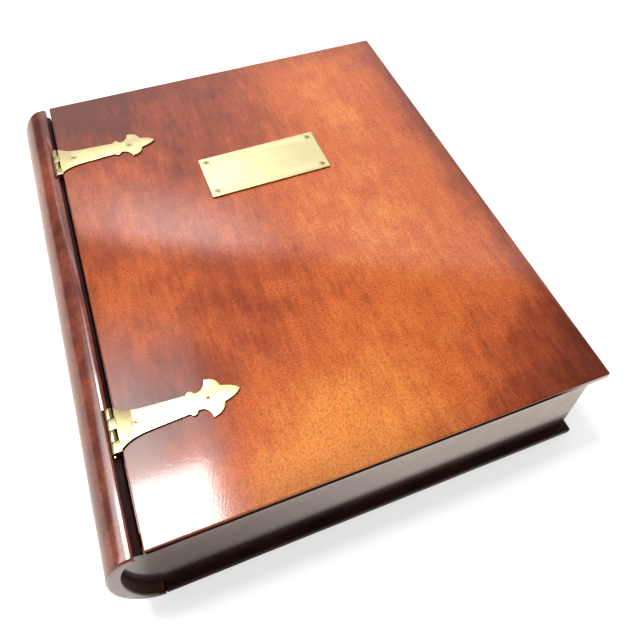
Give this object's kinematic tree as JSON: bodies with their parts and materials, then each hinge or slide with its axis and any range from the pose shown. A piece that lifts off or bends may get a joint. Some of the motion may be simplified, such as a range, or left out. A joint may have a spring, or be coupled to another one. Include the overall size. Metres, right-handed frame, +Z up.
{
  "type": "photo storage box",
  "caption": "Storage box shaped like a large bound book: a rounded hollow spine, a leather-covered tray, and a flat lid that swings up on brass strap hinges.",
  "frame": {"origin": "middle of the bounding box's underside, on the resting face of the back cover", "axes": "+X from the rounded spine to the fore edge, +Y along the spine from the tail (photo's near end) to the head, +Z up through the closed lid"},
  "size_m": [0.2636, 0.322, 0.0732],
  "materials": {
    "cover_leather": "glossy varnished leather, mottled chestnut to dark red-brown",
    "dark_leather": "glossy dark brown leather",
    "board": "dark-stained fibreboard",
    "wall_leather": "smooth glossy dark brown leather",
    "lining": "matte dark red felt",
    "hinge_brass": "polished pale brass",
    "plate_brass": "fine-brushed pale brass",
    "screw_brass": "duller yellow brass"
  },
  "bodies": {
    "box": {"base_board": "board", "base_leather": "dark_leather", "floor_lining": "lining", "tail_wall": "board", "head_wall": "board", "fore_edge_wall": "board", "spine_wall": "board", "wall_leather": "wall_leather", "tail_wall_lining": "lining", "head_wall_lining": "lining", "fore_edge_wall_lining": "lining", "spine_wall_lining": "lining", "spine_shell": "board", "spine_leather": "cover_leather", "near_hinge_leaf": "hinge_brass", "near_hinge_pin": "hinge_brass", "near_leaf_screws": "screw_brass", "far_hinge_leaf": "hinge_brass", "far_hinge_pin": "hinge_brass", "far_leaf_screws": "screw_brass"},
    "lid": {"lid_board": "board", "lid_leather": "cover_leather", "lid_lining": "lining", "near_hinge_strap": "hinge_brass", "near_strap_screws": "screw_brass", "far_hinge_strap": "hinge_brass", "far_strap_screws": "screw_brass", "name_plate": "plate_brass", "name_plate_screws": "screw_brass"}
  },
  "joints": [
    {"name": "lid_hinge", "type": "hinge", "parent": "box", "child": "lid", "pos_m": [-0.1106, 0, 0.0712], "axis": [0, -1, 0], "range_deg": [0, 110]}
  ]
}
